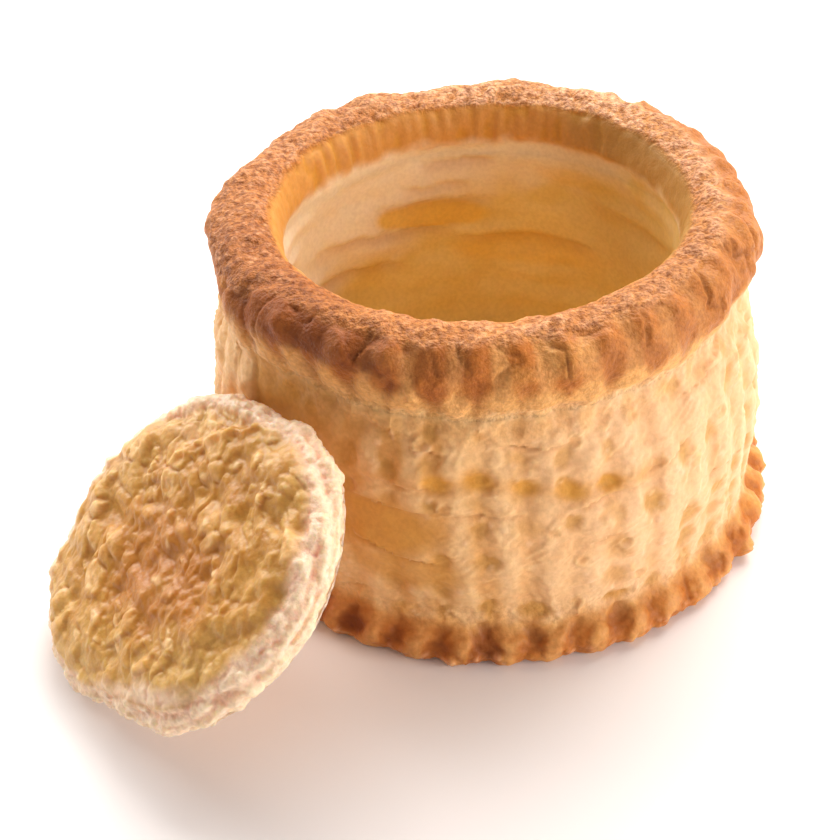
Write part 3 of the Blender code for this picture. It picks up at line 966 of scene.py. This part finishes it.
def make_case():
    """The case in three pieces, the wall with its foot, the rim and the hollow, cut from one surface."""
    surface = CaseSurface(COLUMNS)
    coat = Coat(surface.height.shape, PALE)
    for part_of_coat in (coat_wall, coat_foot, coat_rim, coat_hollow):
        part_of_coat(surface, coat)

    def row_at(knot):
        """The number of the row of points nearest to a number in the section."""
        return int(np.argmin(np.abs(surface.knots - knot)))

    # Below its lip the foot keeps the lip's ragged outline down to the table
    low = surface.knot < FOOT_LIP
    same = LIP_KEPT * coat.relief[row_at(FOOT_LIP)] + (1 - LIP_KEPT) * coat.relief
    coat.relief = np.where(low, ramp(surface.knot, UNDERSIDE_END, UNDERSIDE_END + 0.5) * same, coat.relief)
    outward = np.where(low[..., None], surface.ring[None], surface.bare_normals)
    points = surface.base + outward * coat.relief[..., None]
    points[..., 2] = np.maximum(points[..., 2], 0)
    normals = grid_normals(points)
    normals[0], normals[-1] = (0, 0, -1), (0, 0, 1)
    neck, throat, end = row_at(NECK), row_at(RIM_END), len(points) - 1

    def hidden_rings(share, lift):
        """Rings inside the pastry from the floor up, at a share of the way from the wall to the hollow."""
        rings = [np.array([(0, 0, share * FLOOR_HEIGHT)])]
        for outer, inner in HIDDEN_PAIRS:
            ring = points[row_at(outer)] * (1 - share) + points[row_at(inner)] * share
            rings.append(ring + (0, 0, lift))
        return rings

    def piece(name, first, last, hidden, material):
        """The piece with these rows of the surface, closed by hidden rings inside the pastry."""

        def rows_of(grid):
            """The piece's rows of a grid, where the first and the last of the surface are single points."""
            return [grid[i, :1] if i in (0, end) else grid[i] for i in range(first, last + 1)]

        shown, facing, tones, grains = map(rows_of, (points, normals, coat.colours, coat.grain))
        for ring in hidden:
            shown.append(ring)
            facing.append(np.tile((0, 0, 1), (len(ring), 1)))
            tones.append(np.tile(coat.colours[neck, 0], (len(ring), 1)))
            grains.append(np.zeros(len(ring)))
        starts = np.cumsum([0] + [len(ring) for ring in shown])
        rings = [list(range(low, high)) for low, high in zip(starts, starts[1:])]
        if first > 0:
            rings.append(rings[0])
        if last == end:
            rings = rings[last - first + 1 :] + rings[: last - first + 1]
        shown, facing, tones, grains = map(np.concatenate, (shown, facing, tones, grains))
        obj = make_object(name, shown, ring_faces(rings), tones, grains, material, facing)
        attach(obj, "root")
        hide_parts("case")

    layered = pastry_material(
        "baked_layers", bump_sizes=((1.4, 0.6), (0.5, 0.4)), bump_depth=0.5, roughness=0.36, speckle=0.2
    )
    crusty = pastry_material(
        "browned_crust", bump_sizes=((0.9, 0.4), (0.4, 0.6)), bump_depth=0.8, roughness=0.36, speckle=0.7
    )
    inside = pastry_material(
        "baked_inside", bump_sizes=((1.6, 0.7), (0.5, 0.3)), bump_depth=0.4, roughness=0.42, speckle=0.2
    )
    piece("case_wall", 0, neck, hidden_rings(WALL_SHARE, -1)[::-1], layered)
    piece("case_rim", neck, throat, hidden_rings(0.5, 1.5)[-1:], crusty)
    piece("case_hollow", throat, end, hidden_rings(1 - WALL_SHARE, -1), inside)


def lid_outline(angles):
    """The lid's outline at each angle from the side that points down the slope."""
    stray = sum(
        share * np.cos(turns * (angles - math.radians(crest))) for turns, share, crest in LID_WAVES
    )
    return LID_RADIUS * (1 + stray)


def ball_grid(cells):
    """Points of a ball as six square grids, joined, and the faces between them."""
    steps = np.tan(np.linspace(-1, 1, cells + 1) * math.pi / 4)
    index, points, faces = {}, [], []
    for axis in range(3):
        for side in (-1, 1):
            numbers = np.zeros((cells + 1, cells + 1), int)
            for i, u in enumerate(steps):
                for j, v in enumerate(steps):
                    place = [0, 0, 0]
                    place[axis] = side
                    place[(axis + 1) % 3] = u
                    place[(axis + 2) % 3] = v
                    key = tuple(round(c, 6) for c in place)
                    if key not in index:
                        index[key] = len(points)
                        points.append(place)
                    numbers[i, j] = index[key]
            for i in range(cells):
                for j in range(cells):
                    face = (numbers[i, j], numbers[i + 1, j], numbers[i + 1, j + 1], numbers[i, j + 1])
                    faces.append(face if side > 0 else face[::-1])
    points = np.array(points)
    return points / np.linalg.norm(points, axis=1, keepdims=True), faces


class LidSurface:
    """The lid's surface as the points of a ball, drawn out to the lid's section and outline."""

    def __init__(self, cells):
        directions, self.faces = ball_grid(cells)
        knots, rows = sample_section(
            [(share * LID_RADIUS, -below * LID_THICKNESS, lumps) for share, below, lumps in LID_SECTION],
            ((0, len(LID_SECTION) - 1, 0.1),),
        )
        numbers = np.arange(len(rows))
        steps = np.linalg.norm(np.diff(rows[:, :2], axis=0), axis=1)
        area = np.concatenate(([0], np.cumsum(steps * (rows[1:, 0] + rows[:-1, 0]))))
        along = np.interp((1 - directions[:, 2]) / 2, area / area[-1], numbers)
        self.knot = np.interp(along, numbers, knots)
        radius, self.height, self.lumps = (np.interp(along, numbers, rows[:, i]) for i in range(3))
        slope = np.gradient(rows[:, :2], axis=0)
        rise = np.interp(along, numbers, slope[:, 1])
        run = np.interp(along, numbers, -slope[:, 0])
        length = np.hypot(rise, run)
        self.out_radius, self.out_height = -rise / length, -run / length
        self.angle = np.arctan2(directions[:, 1], directions[:, 0])
        self.share_out = radius / LID_RADIUS
        self.radius = self.share_out * lid_outline(self.angle)
        self.place = self.raised(0)
        self.down = self.place[:, :2] @ LID_DOWN
        self.across = self.place[:, :2] @ LID_ACROSS

    def raised(self, relief):
        """The points, with relief added across the surface."""
        radius = self.radius + self.out_radius * relief
        height = self.height + self.out_height * relief
        return np.stack((radius * np.cos(self.angle), radius * np.sin(self.angle), height), axis=1)

    def noise(self, size, seed, tall=1):
        """Smooth noise from about -1 to 1 over the surface."""
        return noise_at(self.place, size, seed, tall)


def coat_lid(s, coat):
    """The lid's crumbly face, its torn sheets and crescent, its fluffy edge and its back."""
    broad, middle = s.noise(14, 101), s.noise(5, 103)
    small, tiny = s.noise(2.2, 105), s.noise(0.9, 107)
    face = fall(s.knot + 0.3 * middle + 0.2 * small, LID_EDGE_START + 0.2, LID_EDGE_START + 1)
    back = ramp(s.knot, LID_BACK_START - 0.5, LID_BACK_START + 0.1)
    edge = 1 - np.maximum(face, back)
    leafy = face * ramp(s.down + 4 * middle + 2 * broad, 3, 9)
    crumbly = face * (1 - 0.6 * leafy)

    bent = s.place + 0.5 * np.stack((small, s.noise(2.6, 108), 0 * small), axis=1)
    crumbs = np.zeros(len(s.place))
    for size, seed, share, tall in LID_CRUMBS:
        near, gap, draw = crumbs_at(bent @ LID_SLANT, size, seed)
        round_crumb = dome(near, 0.66) * ramp(gap, 0, 0.14)
        crumbs = np.maximum(crumbs, tall * round_crumb * (0.4 + 0.6 * draw / share) * (draw < share))
    near, gap, draw = crumbs_at(bent @ LID_FALL, 3.6, 115)
    leaves = hump(near, 0.8) * ramp(gap, 0, 0.12) * draw
    near, _, draw = crumbs_at(bent @ LID_SLANT, 1.3, 119)
    glints = (draw < 0.5 * ramp(middle + 0.5 * broad, -0.3, 0.5)) * hump(near, 0.7) * ramp(crumbs, 0.15, 0.4)
    near, _, draw = crumbs_at(s.place, 1.9, 121)
    fluff = dome(near, 0.75) * (0.4 + 0.6 * draw)
    plates, _ = torn_sheets(s.noise(9, 111) + 0.3 * middle + 0.15 * small, (-0.1, 0.25), 0.06)
    sheets, _ = torn_sheets(s.noise(5, 113, 0.22), (-0.3, -0.1, 0.1, 0.3), 0.07)
    from_centre = s.place[:, :2] - CRESCENT_CENTRE
    bearing = np.degrees(np.arctan2(from_centre[:, 1], from_centre[:, 0])) % 360
    beyond = np.linalg.norm(from_centre, axis=1) - CRESCENT_RADIUS + small + 1.5 * middle
    crescent = face * window(bearing, 178, 250, 14)

    coat.relief += s.lumps * s.noise(LID_LUMP_SIZE, 21)
    coat.relief += 0.7 * s.lumps * s.noise(LID_LUMP_SIZE / 2, 27)
    coat.relief += face * (0.4 * (plates - 0.5) + 0.2 * small + 0.12 * tiny + 0.15 * glints)
    coat.relief += crumbly * (0.85 * crumbs - 0.3) + leafy * 0.5 * leaves
    coat.relief += crescent * (0.5 * ridge(beyond, 0.8) - 0.8 * ramp(beyond, 0.2, 1.6))
    coat.relief += edge * (0.6 * (sheets - 0.6) + 0.45 * small + 0.3 * tiny + 0.6 * fluff - 0.4)
    coat.relief += back * (0.3 * (plates - 0.5) + 0.15 * small)

    border = face * ramp(s.share_out + 0.12 * middle + 0.08 * broad, 0.45, 0.95)
    heart = np.hypot((s.across + 0.5) / 14.5, (s.down - 3) / 11.5)
    heart = fall(heart + 0.3 * middle, 0.25, 1.15)
    coat.paint(LID_BORDER, 0.65 * border * (1 - 0.5 * ramp(s.across, 2, 14)))
    coat.paint(LID_HEART, 0.85 * heart * face)
    coat.paint(LID_HEART, 0.45 * face * ramp(-crumbs - leaves * leafy + 0.4 * middle, -0.5, 0.2))
    # Olive on the lower face: partly its own tone, partly painted shade among the leafy folds
    coat.paint(OLIVE, 0.4 * face * ramp(broad + 0.5 * middle, 0, 0.6) * ramp(s.down, -6, 6))
    raised = ramp(crumbs * crumbly + 0.5 * leaves * leafy + 0.15 * small, 0.2, 0.7)
    coat.paint(LID_WAX, 0.75 * face * raised * (1 - 0.8 * heart))
    # Painted highlights: on the tips of the crumbs, on the glints, and on the sheet beyond the crescent
    tips = ramp(crumbs + 0.35 * tiny + 0.2 * small, 0.5, 0.9)
    coat.paint(LID_HIGHLIGHT, 0.4 * face * (1 - 0.6 * heart) * tips)
    coat.paint(LID_HIGHLIGHT, 0.7 * face * ramp(glints, 0.2, 0.8))
    coat.paint(LID_HIGHLIGHT, 0.6 * crescent * ramp(beyond, 0.3, 1.8) * ramp(small + 0.5 * tiny, -0.4, 0.4))
    bottom = ramp(s.down + 1.6 * small + 1.2 * middle, 17, 20)
    coat.paint(LID_CREAM, 0.95 * np.maximum(np.maximum(edge, back), 0.8 * bottom * face))
    coat.paint(GOLD, 0.3 * edge * ramp(-sheets - 0.5 * small, -0.4, 0.2))
    coat.grain[:] = 0.3 + 0.4 * edge


def make_lid():
    """The crumbly lid, leaning against the case."""
    surface = LidSurface(LID_CELLS)
    coat = Coat(surface.radius.shape, LID_AMBER)
    coat_lid(surface, coat)
    slope = Matrix.Rotation(math.radians(LID_SLOPE), 3, "Y")
    turn = Matrix.Rotation(math.radians(LID_FACES), 3, "Z") @ slope
    points = surface.raised(coat.relief) @ np.array(turn).T
    lowest = points[:, 2].min()
    points += np.array((LID_CENTRE[0], LID_CENTRE[1], LID_CLEARANCE - lowest))
    crumb = pastry_material(
        "pale_crumb",
        bump_sizes=((1.2, 0.6), (0.45, 0.4)),
        bump_depth=0.4,
        roughness=0.26,
        speckle=0.2,
        soak=0.5,
        reach=0.004,
        gloss=0.4,
    )
    lid = make_object("lid_crumb", points, surface.faces, coat.colours, coat.grain, crumb)
    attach(lid, "root")
    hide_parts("lid")


def make_camera():
    """The camera at the photograph's viewing angle."""
    data = bpy.data.cameras.new("camera")
    data.lens = CAMERA_LENS
    data.sensor_width = 36
    data.clip_start = 0.01
    camera = bpy.data.objects.new("camera", data)
    bpy.context.scene.collection.objects.link(camera)
    turn = (
        Matrix.Rotation(math.radians(CAMERA_TURN), 4, "Z")
        @ Matrix.Rotation(math.radians(90 - CAMERA_LOOKS_DOWN), 4, "X")
        @ Matrix.Rotation(math.radians(CAMERA_ROLL), 4, "Z")
    )
    camera.matrix_world = Matrix.Translation(CAMERA_PLACE) @ turn
    bpy.context.scene.camera = camera


def make_light(name, place, size, power):
    """A soft square lamp aimed at the case."""
    data = bpy.data.lights.new(name, "AREA")
    data.energy = power
    data.size = size
    data.color = LAMP_COLOUR
    lamp = bpy.data.objects.new(name, data)
    lamp.location = place
    lamp.rotation_euler = (Vector(LAMPS_AIM) - lamp.location).to_track_quat("-Z", "Y").to_euler()
    bpy.context.scene.collection.objects.link(lamp)


def make_studio():
    """The pale floor, the soft lamps and the light from all round."""
    mesh = bpy.data.meshes.new("floor")
    corners = [(x * FLOOR_REACH, y * FLOOR_REACH, 0) for x, y in ((-1, -1), (1, -1), (1, 1), (-1, 1))]
    mesh.from_pydata(corners, [], [(0, 1, 2, 3)])
    material = bpy.data.materials.new("floor")
    material.use_nodes = True
    shader = material.node_tree.nodes["Principled BSDF"]
    shader.inputs["Base Color"].default_value = FLOOR_COLOUR
    shader.inputs["Roughness"].default_value = 0.7
    shader.inputs["Specular IOR Level"].default_value = 0.2
    mesh.materials.append(material)
    floor = bpy.data.objects.new("floor", mesh)
    bpy.context.scene.collection.objects.link(floor)
    for lamp in LAMPS:
        make_light(*lamp)
    world = bpy.data.worlds.new("world")
    bpy.context.scene.world = world
    world.use_nodes = True
    background = world.node_tree.nodes["Background"]
    background.inputs["Color"].default_value = ROOM_COLOUR
    background.inputs["Strength"].default_value = ROOM_STRENGTH
    bpy.context.scene.view_settings.view_transform = "Standard"


make_camera()
make_studio()
make_case()
make_lid()
